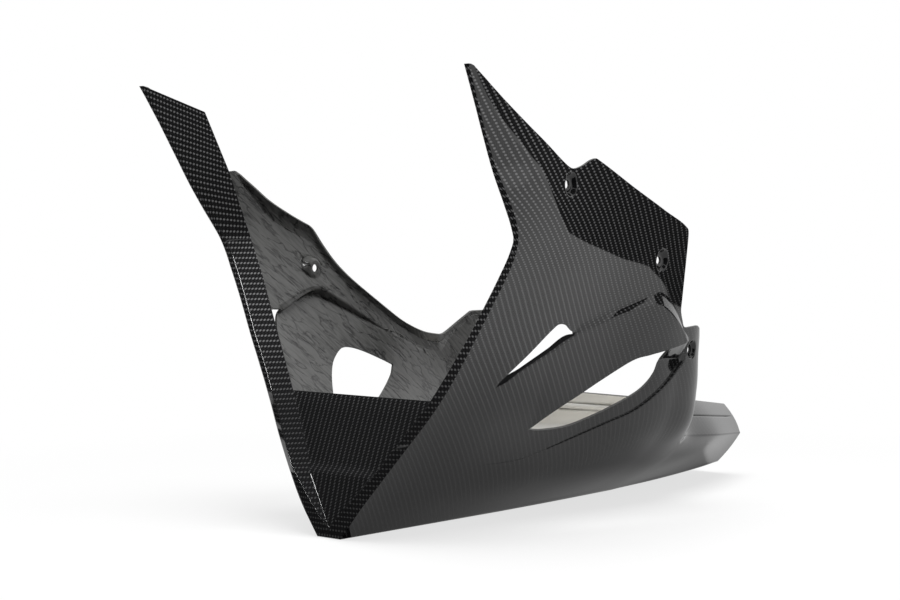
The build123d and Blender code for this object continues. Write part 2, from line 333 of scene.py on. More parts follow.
panel_low = drawn(
    103,
    [(1, 72.2, 112.3, 0), (1.06, 73.4, 114.8, 0), (1.3, 79, 121.2, 0), (2, 95, 136.8, 0),
     (2.85, 114, 155, 0), (3, 117, 157.2, 0), (3.2, 121, 158, 0), (3.6, 131, 155.8, 0),
     (3.85, 137, 152.6, 0), (4, 141, 151.2, 0), (4.15, 147, 156, 0), (4.5, 169.7, 161.6, 0),
     (5, 201.4, 168.2, 0), (5.5, 221, 173, 0), (6, 236, 176.6, 0), (6.3, 243, 177, 0),
     (6.6, 250, 175.7, 0), (7, 262.8, 169.6, 0), (7.5, 272, 163.6, 0), (8, 280, 158, 0),
     (8.5, 286.5, 151.8, 0), (9, 293, 146, 0)],
    [(9, 304, 139), (10, 318, 146.3), (11, 331, 137.3)],
)
slot_lip = drawn(
    103,
    [(1, 72.2, 112.3, 0), (1.15, 76, 115.5, -2.4), (2, 93.5, 126.2, -2.8), (3, 117.5, 138.9, -3.2),
     (3.8, 138.5, 149.2, -3.4), (4, 142.8, 149.8, -1), (9, 294, 140, 2.5)],
    BLADE_TAB,
)
slot_lip = np.where(STATIONS <= SLOT_STATIONS[1], slot_lip, (blade_top + panel_low) / 2)
slot_lip, panel_low = np.where(STATIONS <= SLOT_STATIONS[0], blade_top, [slot_lip, panel_low])
top_line = drawn(
    341,
    [(0.05, -36.5, 341, 0), (0.12, -28.5, 337, 0), (0.4, 0, 321.5, 0), (1, 38, 301.2, 0),
     (1.5, 62, 289, 0), (1.9, 81, 279.5, 0), (2.2, 92, 274.8, 0), (2.6, 101, 273.7, 0),
     (3, 110, 275.5, 0), (3.8, 125.5, 281, 0), (4, 130, 281.8, 0), (4.2, 134, 280.7, 0),
     (5, 190, 261, 0), (6, 240, 243.6, 0), (6.9, 277, 230.8, 0), (7.05, 281, 228.5, 0),
     (7.15, 282, 226, 0), (7.4, 282, 206, 0), (7.6, 282, 189, 0), (7.8, 282, 174, 0),
     (8, 282.3, 163.5, 0), (8.2, 284.3, 159.3, 0), (8.5, 288, 154.4, 0), (8.9, 293.5, 148.6, 0),
     (9, 296, 147.7, 0)],
    [(9, 297, 147.7), (10, 319, 148.5), (10.5, 326, 146), (11, 331, 138.8)],
)
left_edge = panel(
    1,
    [keel_line, ridge_line, recess_line, recess_floor, vent_low, blade_low, blade_top, slot_lip, panel_low,
     top_line],
    counts=[KEEL_ROWS, RIDGE_ROWS, 3, 10, 5, 14, 4, 4, 54],
    gaps={4: VENT_STATIONS, 7: SLOT_STATIONS},
    holes={8: [(95, 262, 9.5), (243, 204, 9.5)], 3: [(312, 129, 8.2)]},
    plain={6: SLOT_STATIONS[1], 7: SLOT_STATIONS[1]},
)

FAR_RIM_DEPTH = 16.0
FAR_RIM_LEAN = 6.0
FAR_RIM_SHIFT = 6.9
FAR_ROLL_SHARE = 0.55
FAR_ROLL_RISE = 1.8
FAR_RIM_STATIONS = [1.0, 2.4, 7.6, 8.2, 9, 11]
FAR_RIM_SHARES = [0, 1, 1, 0.5, 0.2, 0.2]
FAR_VENT_STATIONS = (3, 6)
FAR_SLOT_STATIONS = (1, 2)
FAR_LOW_TAB = [(9, 295, 100), (10, 316, 100), (11, 331, 100)]
FAR_BLADE_TAB = [(9, 295, 110), (10, 316, 110), (11, 331, 110)]
low_line = drawn(
    49,
    [(1, 50, 48, 0), (2, 80, 50, 0), (3, 100, 56, 0), (4, 125, 60, 0), (5, 150, 64, 0), (6, 185, 72, 0),
     (7, 235, 80, 0), (8, 265, 84, 0), (9, 295, 86, 0)],
    [(9, 295, 86), (10, 316, 86), (11, 331, 86)],
)
far_vent_low = drawn(
    76,
    [(1, 60, 80, 0), (2, 80, 84, 0.3), (3, 93, 90, 0.5), (3.3, 98, 88, 0), (4, 125, 87, 0),
     (5, 152, 88, 0), (5.7, 179, 106, 0), (6, 184, 113, 0), (7, 230, 108, 0), (8, 262, 104, 0),
     (9, 295, 100, 0)],
    FAR_LOW_TAB,
)
far_vent_top = drawn(
    76,
    [(1, 60, 80, 0), (2, 80, 84, 0.3), (3, 93, 90, 0.5), (3.4, 105, 109, 2.5), (4, 119, 123.5, 3.6),
     (4.3, 128, 128.8, 3.4), (4.5, 134, 130, 3), (4.7, 140, 129.4, 2.6), (5.7, 176, 116.5, 0.4),
     (6, 184, 113, 0), (7, 230, 108, 0), (8, 262, 104, 0), (9, 295, 100, 0)],
    FAR_LOW_TAB,
)
closed = (STATIONS <= FAR_VENT_STATIONS[0]) | (STATIONS >= FAR_VENT_STATIONS[1])
far_vent_top = np.where(closed, far_vent_low, far_vent_top)
far_blade_top = drawn(
    103,
    [(1, 50, 134, 0.4), (2, 68, 160.5, 4.3), (3, 100, 172.5, 7.5), (3.7, 113, 176, 7.2),
     (4, 118, 176, 7), (5, 140, 165.5, 5.2), (6, 187, 141, 0), (7, 232, 120, 0), (8, 262, 113, 0),
     (9, 295, 110, 0)],
    FAR_BLADE_TAB,
)
far_panel_low = drawn(
    103,
    [(1, 50, 134, 0.4), (1.2, 50.6, 146, 0), (1.6, 57.5, 162, 0), (2, 68, 163.5, 0), (3, 100, 175.5, 0),
     (3.7, 113, 179, 0), (4, 119, 179, 0), (5, 141, 168.5, 0), (6, 187, 141, 0), (7, 232, 120, 0),
     (8, 262, 113, 0), (9, 295, 110, 0)],
    FAR_BLADE_TAB,
)
far_top_line = drawn(
    341,
    [(0.04, -36.5, 341, 0), (0.1, -31, 338.6, 0), (0.35, 6, 319, 0), (0.6, 26, 294, 0),
     (0.75, 37, 279, 0), (0.85, 43.5, 275.7, 0), (1, 51, 276.4, 0), (1.2, 56, 274.4, 0),
     (1.6, 64, 269.2, 0), (2, 73, 263, 0), (2.5, 88, 251.9, 0), (3, 104, 242.5, 0), (3.6, 121, 234, 0),
     (3.8, 126, 231.6, 0), (4, 130, 228, 0), (4.3, 138, 215, 0), (5, 153, 194.3, 0),
     (5.5, 168, 180.5, 0), (6, 197, 158.6, 0), (6.5, 214, 148, 0), (7, 234, 140, 0), (7.5, 250, 137, 0),
     (8, 259, 136.6, 0), (8.4, 268, 140, 0), (9, 297, 154.5, 0)],
    [(9, 297, 154.5), (9.3, 301, 155), (10.2, 321, 155), (10.6, 327, 152), (11, 331, 146)],
)
far_panel_low = np.where(STATIONS <= FAR_SLOT_STATIONS[0], far_blade_top, far_panel_low)
rim_share = np.interp(STATIONS, FAR_RIM_STATIONS, FAR_RIM_SHARES)
far_rim = far_top_line - [0 * STATIONS, FAR_RIM_DEPTH * rim_share, 0 * STATIONS]
far_top_line = far_top_line - np.outer([FAR_RIM_SHIFT, 0, FAR_RIM_LEAN], rim_share)
far_roll = (1 - FAR_ROLL_SHARE) * far_rim + FAR_ROLL_SHARE * far_top_line
far_roll = far_roll + np.outer([0, 0, FAR_ROLL_RISE], rim_share)
right_edge = panel(
    -1,
    [keel_line, ridge_line, low_line, far_vent_low, far_vent_top, far_blade_top, far_panel_low, far_rim,
     far_roll, far_top_line],
    counts=[KEEL_ROWS, RIDGE_ROWS, 10, 3, 14, 4, 48, 4, 4],
    gaps={3: FAR_VENT_STATIONS, 5: FAR_SLOT_STATIONS},
    holes={6: [(117, 196, 9.5), (311, 136, 9.5)]},
    plain={5: FAR_SLOT_STATIONS[1]},
)


# Front collar. The front edge of the hull is folded in to a lip that faces forwards and from it back to a
# flange; low down the flanges run together in a cross wall with a fold over its foot, which closes the nose
# below the mouth.
SILL_UP = 103.0
NOSE_UP = 7.0
BEND_UP = 222.0
ARM_TIP_UP = 341.0
FLANGE_TIP_UP = 321.5
TOW = 2.0
ARM_RUN_RATE = 1.22
DAM_RATE = 1.2
FLANGE_CLOTH_START = 7
DAM_COLUMNS = 30
COLLAR_UP = [0, 7, 46.5, 51, 103, 192, 222, 276, 321.5]
LIP_OUT = ([0, 7, 49, 103, 150, 222, 341], [0, 0, 42.3, 81.5, 111, 150.5, 165.5])
LIP_BACK = ([0, 7, 49, 103, 150, 215], [0, -1, -3.9, -2.5, -1, 0.3])
FLANGE_OUT = [0, 0, 32, 35.5, 75, 123, 139, 139.5, 143]
FLANGE_BACK = [-1.6, -1.2, 9.5, 14.5, 35, 47.5, 49.5, 26, 4]
LIP_COLUMNS = np.array([0, 0.12, 0.88, 1])
FLANGE_COLUMNS = np.array([0, 0.05, 0.2, 0.4, 0.6, 0.8, 0.95, 1])


def collar(edge, side):
    """Lip and flange along one front edge: straight across from the edge to the fold, then straight to the
    flange's inner edge, which ends lower than the arm's tip; gives back the inner edge."""
    back, out, up = edge[:, 0], side * edge[:, 1], edge[:, 2]
    fold_out = np.minimum(np.interp(up, *LIP_OUT), out)
    fold = np.stack([back + np.interp(up, *LIP_BACK), fold_out, up], axis=-1)
    shortened = (FLANGE_TIP_UP - BEND_UP) / (ARM_TIP_UP - BEND_UP)
    inner_up = np.where(up > BEND_UP, BEND_UP + (up - BEND_UP) * shortened, up)
    inner_back = np.interp(inner_up, COLLAR_UP, FLANGE_BACK)
    inner_out = np.interp(inner_up, COLLAR_UP, FLANGE_OUT)
    inner = np.stack([inner_back, inner_out, inner_up], axis=-1)
    inner[up <= NOSE_UP] = fold[up <= NOSE_UP]
    start = np.stack([back, out, up], axis=-1)
    run = np.concatenate([[0], np.cumsum(np.linalg.norm(np.diff(inner, axis=0), axis=1))])
    lip = (start, fold, LIP_COLUMNS, 0)
    flange = (fold, inner, FLANGE_COLUMNS, FLANGE_CLOTH_START)
    for first, last, columns, offset in (lip, flange):
        points = first * (1 - columns[:, None, None]) + last * columns[:, None, None]
        across = offset + columns[:, None] * np.linalg.norm(last - first, axis=1)
        along = ARM_RUN_RATE * run + 0 * across
        cloth = np.stack([along + across, along - across], axis=-1) / np.sqrt(2) / TOW
        lay(points * [1, side, 1], cloth, turned=side > 0)
    return inner * [1, side, 1]


left_inner = collar(left_edge, 1)
right_inner = collar(right_edge, -1)
SILL_SLACK = 0.01
left_low = left_inner[left_inner[:, 2] < SILL_UP + SILL_SLACK]
right_low = right_inner[right_inner[:, 2] < SILL_UP + SILL_SLACK]
across = np.linspace(0, 1, DAM_COLUMNS)[:, None, None]
dam = left_low * (1 - across) + right_low * across
rise = np.concatenate([[0], np.cumsum(np.linalg.norm(np.diff(dam[DAM_COLUMNS // 2], axis=0), axis=1))])
dam_cloth = np.stack([dam[..., 1] + rise, dam[..., 1] - rise], axis=-1) * DAM_RATE / np.sqrt(2) / TOW
lay(dam, dam_cloth, turned=True)


# Keel and boat tail. The keel is a flat strip between the panels; behind the panels the hull narrows into a
# trough, whose upper faces lean inwards from a ridge and carry a shallow groove.
TAIL_BACK = 505.0
PANEL_BACK = 331.0
TAIL_COLUMNS = 40
RIDGE_UP = 54.0
RIDGE_FALL = 15.4 / 178
DECK_BACK = 494.0
DECK_OUT = [78, 24.5]
DECK_UP = [86, 66]
END_BULGE = 3.7
FACE_ROWS = np.array([0, 0.03, 0.1, 0.25, 0.4, 0.5, 0.53, 0.54, 0.56, 0.57, 0.6, 0.75, 0.9, 0.97, 1])
FACE_CLOTH_WIDTH = 35
FACE_CLOTH_START = 60
GROOVE_ROW = 0.55
GROOVE_HALF = 0.015
GROOVE_SHARES = [0, 0.85, 0.95]
GROOVE_DEPTHS = [4, 2, 0]
WEB_COLUMNS = 5
tail_back = np.linspace(PANEL_BACK, TAIL_BACK, TAIL_COLUMNS)
tail_rows = rows_between(KEEL_ROWS)
ridge_up = RIDGE_UP - RIDGE_FALL * (tail_back - PANEL_BACK)
tail_low = keel_up(tail_back)[:, None] * (1 - tail_rows) + ridge_up[:, None] * tail_rows
tail_share = (tail_back - PANEL_BACK) / (TAIL_BACK - PANEL_BACK)
deck_back = PANEL_BACK + (DECK_BACK - PANEL_BACK) * tail_share
deck_out = np.interp(tail_share, [0, 1], DECK_OUT)
deck_up = np.interp(tail_share, [0, 1], DECK_UP)
groove_depth = np.interp(tail_share, GROOVE_SHARES, GROOVE_DEPTHS)
groove = groove_depth[:, None] * (abs(FACE_ROWS - GROOVE_ROW) < GROOVE_HALF)
bulge = END_BULGE * 4 * FACE_ROWS * (1 - FACE_ROWS) * tail_share[:, None]
for side in (1, -1):
    back = np.broadcast_to(tail_back[:, None], tail_low.shape)
    lower = np.stack([back, side * flank(back, tail_low), tail_low], axis=-1)
    lay(lower, tows(back, tail_low), turned=side < 0)
    ridge = lower[:, -1]
    deck = np.stack([deck_back, side * deck_out, deck_up], axis=-1)
    face = ridge[:, None] * (1 - FACE_ROWS[:, None]) + deck[:, None] * FACE_ROWS[:, None]
    face[..., 0] += bulge
    face[..., 1] -= side * groove
    face_up = FACE_CLOTH_START + FACE_CLOTH_WIDTH * FACE_ROWS + 0 * bulge
    lay(face, np.stack([face[..., 0], face_up], axis=-1) / TOW, turned=side < 0)
    web_up = strip(ridge_line, recess_line, rows_between(RIDGE_ROWS))[1][-1]
    share = (web_up - web_up[0]) / (web_up[-1] - web_up[0])
    web_back = 0 * web_up + PANEL_BACK
    outer_line = np.stack([web_back, side * flank(web_back, web_up), web_up], axis=-1)
    inner_line = face[0, 0] * (1 - share[:, None]) + face[0, -1] * share[:, None]
    steps = np.linspace(0, 1, WEB_COLUMNS)[:, None, None]
    web = outer_line * (1 - steps) + inner_line * steps
    lay(web, web[..., 1:] / TOW, turned=side < 0)

# Across the keel, the steps are those of the two lips, which it meets at the nose.
keel_steps = np.concatenate([1 - LIP_COLUMNS, LIP_COLUMNS[::-1][1:] - 1])
for back in (keel_back, tail_back):
    out = flank(back, keel_up(back))[:, None] * keel_steps
    keel = np.stack([back[:, None] + 0 * out, out, keel_up(back)[:, None] + 0 * out], axis=-1)
    lay(keel, keel[..., :2] / TOW)


# Laminate. Carbon cloth in a two-over-two twill, laid with its tows along and up the panels, in dark resin
# under a clear gloss coat, with the glints of the fibres painted into its colour; inside, the bare back of
# the layup shows wrinkles of the bagging film, with painted shade in their creases, and the inside of the
# tail is painted pale as a painted reflection.
MERGE_DISTANCE = 3e-5
SLIVER = 1e-6
LEFT_PANEL_Y = 0.12


def joined_mesh(name):
    """All grids as one mesh: points moved to the object's frame in metres, doubles merged, faces turned
    outwards."""
    starts = np.cumsum([0] + [len(points) for points, _, _ in sheets])
    points = np.concatenate([points for points, _, _ in sheets])
    faces = np.concatenate([cells + start for (_, _, cells), start in zip(sheets, starts)])
    cloth = np.concatenate([cloth[cells].reshape(-1, 2) for _, cloth, cells in sheets])
    place = np.stack([KEEL_FRONT_X - points[:, 0], points[:, 1], points[:, 2]], axis=-1) / 1000
    mesh = bpy.data.meshes.new(name)
    mesh.from_pydata(place, [], faces)
    mesh.uv_layers.new(name="cloth").data.foreach_set("uv", cloth.ravel())
    work = bmesh.new()
    work.from_mesh(mesh)
    bmesh.ops.remove_doubles(work, verts=work.verts, dist=MERGE_DISTANCE)
    bmesh.ops.dissolve_degenerate(work, edges=work.edges, dist=SLIVER)
    bmesh.ops.recalc_face_normals(work, faces=work.faces)
    work.to_mesh(mesh)
    work.free()
    normal, middle = np.empty((2, len(mesh.polygons) * 3))
    mesh.polygons.foreach_get("normal", normal)
    mesh.polygons.foreach_get("center", middle)
    if normal[1::3][middle[1::3] > LEFT_PANEL_Y].sum() < 0:
        mesh.flip_normals()
    return mesh


def fresh_material(name):
    """A new material with a node tree: gives back the material, its nodes, its links and its main
    shader."""
    material = bpy.data.materials.new(name)
    material.use_nodes = True
    nodes, links = material.node_tree.nodes, material.node_tree.links
    return material, nodes, links, nodes["Principled BSDF"]


BAR_ROUNDING = 0.6
GLINT_SHARPNESS = 1.6
UPRIGHT_GLINT = 0.08
# Painted light over the height: how strongly the painted glints show at each height, at the rear and at the
# front; brighter high up where the panels face the lamp, fainter low down in their shade.
REAR_GLINT_LIGHT = [(0.05, 0.087), (0.14, 0.15), (0.20, 0.42)]
FRONT_GLINT_LIGHT = [(0.09, 0.17), (0.15, 0.62), (0.30, 0.75)]
REAR_GLINT_X = -0.02
FRONT_GLINT_X = 0.15


def weave_material():
    """Twill: tow i along and tow j up meet in a cell, and the tow along the panel lies on top where i + j,
    counted round four, is 0 or 1. Each float is a rounded bar two tows long, and its crown carries a
    painted glint, a pale spot in the base colour that stands in for the light the fibres catch, faint on
    the tows that run up. How strongly the painted glints show is painted light over the height (height in
    metres, share), a ramp at the rear and one at the front, mixed along the pan: stronger high up where the
    panels face the lamp, weaker low down in their shade."""
    material, nodes, links, shader = fresh_material("twill_laminate")

    def math(operation, *inputs):
        node = nodes.new("ShaderNodeMath")
        node.operation = operation
        for socket, value in zip(node.inputs, inputs):
            if isinstance(value, (int, float)):
                socket.default_value = value
            else:
                links.new(value, socket)
        return node.outputs[0]

    uv = nodes.new("ShaderNodeUVMap")
    uv.uv_map = "cloth"
    parts = nodes.new("ShaderNodeSeparateXYZ")
    links.new(uv.outputs[0], parts.inputs[0])
    across, up = parts.outputs[0], parts.outputs[1]
    count = math("FLOORED_MODULO", math("ADD", math("FLOOR", across), math("FLOOR", up)), 4)
    on_top = math("LESS_THAN", count, 1.5)
    below = math("SUBTRACT", 1, on_top)
    in_across, in_up = math("FRACT", across), math("FRACT", up)
    along_bar = math("ADD", math("MULTIPLY", on_top, math("ADD", count, in_across)),
                     math("MULTIPLY", below, math("ADD", math("SUBTRACT", count, 2), in_up)))
    over_bar = math("ADD", math("MULTIPLY", on_top, in_up), math("MULTIPLY", below, in_across))
    crown = math("MULTIPLY", math("SINE", math("MULTIPLY", along_bar, np.pi / 2)),
                 math("SINE", math("MULTIPLY", over_bar, np.pi)))
    crown = math("MAXIMUM", crown, 0.0)
    height = math("POWER", crown, BAR_ROUNDING)
    shown = math("ADD", UPRIGHT_GLINT, math("MULTIPLY", on_top, 1 - UPRIGHT_GLINT))
    painted_glint = math("MULTIPLY", math("POWER", crown, GLINT_SHARPNESS), shown)

    place = nodes.new("ShaderNodeTexCoord")
    place_parts = nodes.new("ShaderNodeSeparateXYZ")
    links.new(place.outputs["Object"], place_parts.inputs[0])

    def painted_light_over_height(stops):
        ramp = nodes.new("ShaderNodeValToRGB")
        ramp.color_ramp.elements.new(0.5)
        for element, (height_m, level) in zip(ramp.color_ramp.elements, stops):
            element.position = height_m
            element.color = (level, level, level, 1)
        links.new(place_parts.outputs[2], ramp.inputs[0])
        return ramp.outputs[0]

    front = nodes.new("ShaderNodeMapRange")
    front.inputs["From Min"].default_value = REAR_GLINT_X
    front.inputs["From Max"].default_value = FRONT_GLINT_X
    links.new(place_parts.outputs[0], front.inputs["Value"])
    clear = nodes.new("ShaderNodeMix")
    links.new(front.outputs[0], clear.inputs["Factor"])
    links.new(painted_light_over_height(REAR_GLINT_LIGHT), clear.inputs["A"])
    links.new(painted_light_over_height(FRONT_GLINT_LIGHT), clear.inputs["B"])
    painted_glint = math("MULTIPLY", painted_glint, clear.outputs["Result"])

    # Painted glints: the base colour runs from the dark resin to a pale grey where the crowns stand for
    # light caught by the fibres.
    tone = nodes.new("ShaderNodeMix")
    tone.data_type = "RGBA"
    links.new(painted_glint, tone.inputs["Factor"])
    tone.inputs["A"].default_value = (0.013, 0.013, 0.0136, 1)
    tone.inputs["B"].default_value = (0.5, 0.5, 0.507, 1)
    links.new(tone.outputs["Result"], shader.inputs["Base Color"])
    bump = nodes.new("ShaderNodeBump")
    bump.inputs["Strength"].default_value = 0.35
    bump.inputs["Distance"].default_value = 0.0002
    links.new(height, bump.inputs["Height"])
    links.new(bump.outputs[0], shader.inputs["Normal"])
    shader.inputs["Roughness"].default_value = 0.45
    shader.inputs["Specular IOR Level"].default_value = 0.0
    shader.inputs["Coat Weight"].default_value = 1.0
    shader.inputs["Coat Roughness"].default_value = 0.05
    return material


def inner_material():
    """Bare layup: grey-black resin with creases of the bagging film, noise stretched along lines that run
    down and back, and narrow grooves; the colour follows the same height as the bump, darker where the
    creases and grooves sink, which is painted shade in them."""
    material, nodes, links, shader = fresh_material("bare_layup")
    place = nodes.new("ShaderNodeTexCoord")

    def creases(angle, size, detail):
        turn = nodes.new("ShaderNodeMapping")
        turn.vector_type = "TEXTURE"
        turn.inputs["Rotation"].default_value = (0, angle, 0)
        turn.inputs["Scale"].default_value = size
        links.new(place.outputs["Object"], turn.inputs[0])
        noise = nodes.new("ShaderNodeTexNoise")
        noise.inputs["Scale"].default_value = 1.0
        noise.inputs["Detail"].default_value = detail
        noise.inputs["Distortion"].default_value = 0.4
        links.new(turn.outputs[0], noise.inputs["Vector"])
        return noise.outputs[0]

    fine = creases(0.75, (0.0022, 0.02, 0.016), 4.0)
    line = nodes.new("ShaderNodeMapRange")
    line.inputs["From Max"].default_value = 0.045
    gap = nodes.new("ShaderNodeMath")
    gap.operation = "SUBTRACT"
    links.new(creases(0.9, (0.008, 0.02, 0.03), 3.0), gap.inputs[0])
    gap.inputs[1].default_value = 0.5
    size = nodes.new("ShaderNodeMath")
    size.operation = "ABSOLUTE"
    links.new(gap.outputs[0], size.inputs[0])
    links.new(size.outputs[0], line.inputs["Value"])
    mixed = nodes.new("ShaderNodeMix")
    mixed.inputs["Factor"].default_value = 0.3
    links.new(fine, mixed.inputs["A"])
    links.new(line.outputs[0], mixed.inputs["B"])
    # Painted shade: the same height that drives the bump darkens the colour in the creases and grooves.
    tone = nodes.new("ShaderNodeValToRGB")
    tone.color_ramp.elements[0].position = 0.3
    tone.color_ramp.elements[0].color = (0.012, 0.012, 0.012, 1)
    tone.color_ramp.elements[1].position = 0.7
    tone.color_ramp.elements[1].color = (0.105, 0.105, 0.102, 1)
    links.new(mixed.outputs["Result"], tone.inputs[0])
    links.new(tone.outputs[0], shader.inputs["Base Color"])
    bump = nodes.new("ShaderNodeBump")
    bump.inputs["Strength"].default_value = 0.5
    bump.inputs["Distance"].default_value = 0.0005
    links.new(mixed.outputs["Result"], bump.inputs["Height"])
    links.new(bump.outputs[0], shader.inputs["Normal"])
    shader.inputs["Roughness"].default_value = 0.22
    return material


def tail_reflection_material():
    """Inside of the tail, where the exhaust runs: a painted reflection, a pale colour that stands in for
    the bright reflection on the tail's inner faces, with a brushed-metal look and faint creases along it.
    """
    material, nodes, links, shader = fresh_material("painted_tail_reflection")
    place = nodes.new("ShaderNodeTexCoord")
    stretch = nodes.new("ShaderNodeMapping")
    stretch.inputs["Scale"].default_value = (18, 60, 160)
    links.new(place.outputs["Object"], stretch.inputs[0])
    noise = nodes.new("ShaderNodeTexNoise")
    noise.inputs["Scale"].default_value = 1.0
    noise.inputs["Detail"].default_value = 3.0
    links.new(stretch.outputs[0], noise.inputs["Vector"])
    tone = nodes.new("ShaderNodeValToRGB")
    tone.color_ramp.elements[0].color = (0.78, 0.76, 0.71, 1)
    tone.color_ramp.elements[1].color = (0.92, 0.91, 0.88, 1)
    links.new(noise.outputs[0], tone.inputs[0])
    links.new(tone.outputs[0], shader.inputs["Base Color"])
    bump = nodes.new("ShaderNodeBump")
    bump.inputs["Strength"].default_value = 0.2
    bump.inputs["Distance"].default_value = 0.0004
    links.new(noise.outputs[0], bump.inputs["Height"])
    links.new(bump.outputs[0], shader.inputs["Normal"])
    shader.inputs["Metallic"].default_value = 0.25
    shader.inputs["Roughness"].default_value = 0.4
    return material


def cut_edge_material():
    """Trimmed edge of the laminate: dull dark grey, a little lighter in the plies."""
    material, nodes, links, shader = fresh_material("cut_edge")
    noise = nodes.new("ShaderNodeTexNoise")
    noise.inputs["Scale"].default_value = 700.0
    tone = nodes.new("ShaderNodeValToRGB")
    tone.color_ramp.elements[0].color = (0.03, 0.03, 0.03, 1)
    tone.color_ramp.elements[1].color = (0.12, 0.12, 0.115, 1)
    links.new(noise.outputs[0], tone.inputs[0])
    links.new(tone.outputs[0], shader.inputs["Base Color"])
    shader.inputs["Roughness"].default_value = 0.5
    return material


WALL = 0.002
PAINTED_REFLECTION_FRONT_X = -0.101
INSIDE = 1
CUT_EDGE = 2
PAINTED_REFLECTION = 3
sheet_mesh = joined_mesh("belly_pan_sheet")
sheet = bpy.data.objects.new("belly_pan_sheet", sheet_mesh)
bpy.context.collection.objects.link(sheet)
for material in (weave_material(), inner_material(), cut_edge_material(), tail_reflection_material()):
    sheet_mesh.materials.append(material)
thick = sheet.modifiers.new("thickness", "SOLIDIFY")
thick.thickness = WALL
thick.offset = -1
thick.use_even_offset = True
thick.material_offset = INSIDE
thick.material_offset_rim = CUT_EDGE
shell_mesh = bpy.data.meshes.new_from_object(sheet.evaluated_get(bpy.context.evaluated_depsgraph_get()))
bpy.data.objects.remove(sheet)
shell_mesh.name = "belly_pan_shell"
place = np.empty(len(shell_mesh.vertices) * 3)
shell_mesh.vertices.foreach_get("co", place)
place = np.clip(place.reshape(-1, 3), *cad_box)
shell_mesh.vertices.foreach_set("co", place.ravel())
shell_mesh.shade_smooth()
finish, corners = np.empty((2, len(shell_mesh.polygons)), np.int32)
middle = np.empty(len(shell_mesh.polygons) * 3)
edge_of_corner = np.empty(len(shell_mesh.loops), np.int32)
shell_mesh.polygons.foreach_get("material_index", finish)
shell_mesh.polygons.foreach_get("loop_total", corners)
shell_mesh.polygons.foreach_get("center", middle)
shell_mesh.loops.foreach_get("edge_index", edge_of_corner)
trimmed = np.repeat(finish == CUT_EDGE, corners)
on_trim = np.bincount(edge_of_corner[trimmed], minlength=len(shell_mesh.edges)) > 0
on_skin = np.bincount(edge_of_corner[~trimmed], minlength=len(shell_mesh.edges)) > 0
shell_mesh.edges.foreach_set("use_edge_sharp", on_trim & on_skin)
# The inside faces behind the tail's front are painted pale, a painted reflection.
finish[(finish == INSIDE) & (middle[0::3] < PAINTED_REFLECTION_FRONT_X)] = PAINTED_REFLECTION
shell_mesh.polygons.foreach_set("material_index", finish)
shell_mesh.update()
shell = bpy.data.objects.new("belly_pan_shell", shell_mesh)
bpy.context.collection.objects.link(shell)
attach(shell, "root")
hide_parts("belly_pan")


# Studio. The pan stands on a white sheet that runs out to a white room, under one wide lamp; dark curtains,
# a dark cloth and one narrow light card stand round it and show only in the gloss. The camera looks from
# the front left, level with the arms.
FLOOR_UP = -0.0005
FLOOR_HALF = 6
floor_mesh = bpy.data.meshes.new("floor_sheet")
floor_signs = [(-1, -1), (1, -1), (1, 1), (-1, 1)]
floor_mesh.from_pydata(
    [(i * FLOOR_HALF, j * FLOOR_HALF, FLOOR_UP) for i, j in floor_signs], [], [(0, 1, 2, 3)])
floor = bpy.data.objects.new("floor_sheet", floor_mesh)
bpy.context.collection.objects.link(floor)


GLOSS_DIM = 0.4
GLOW_FROM = 0.3
GLOW_FULL = 0.7
GLOW_NEAR = 0.3
CAMERA_GLOW = 0.42
GLOSS_GLOW = 0.78


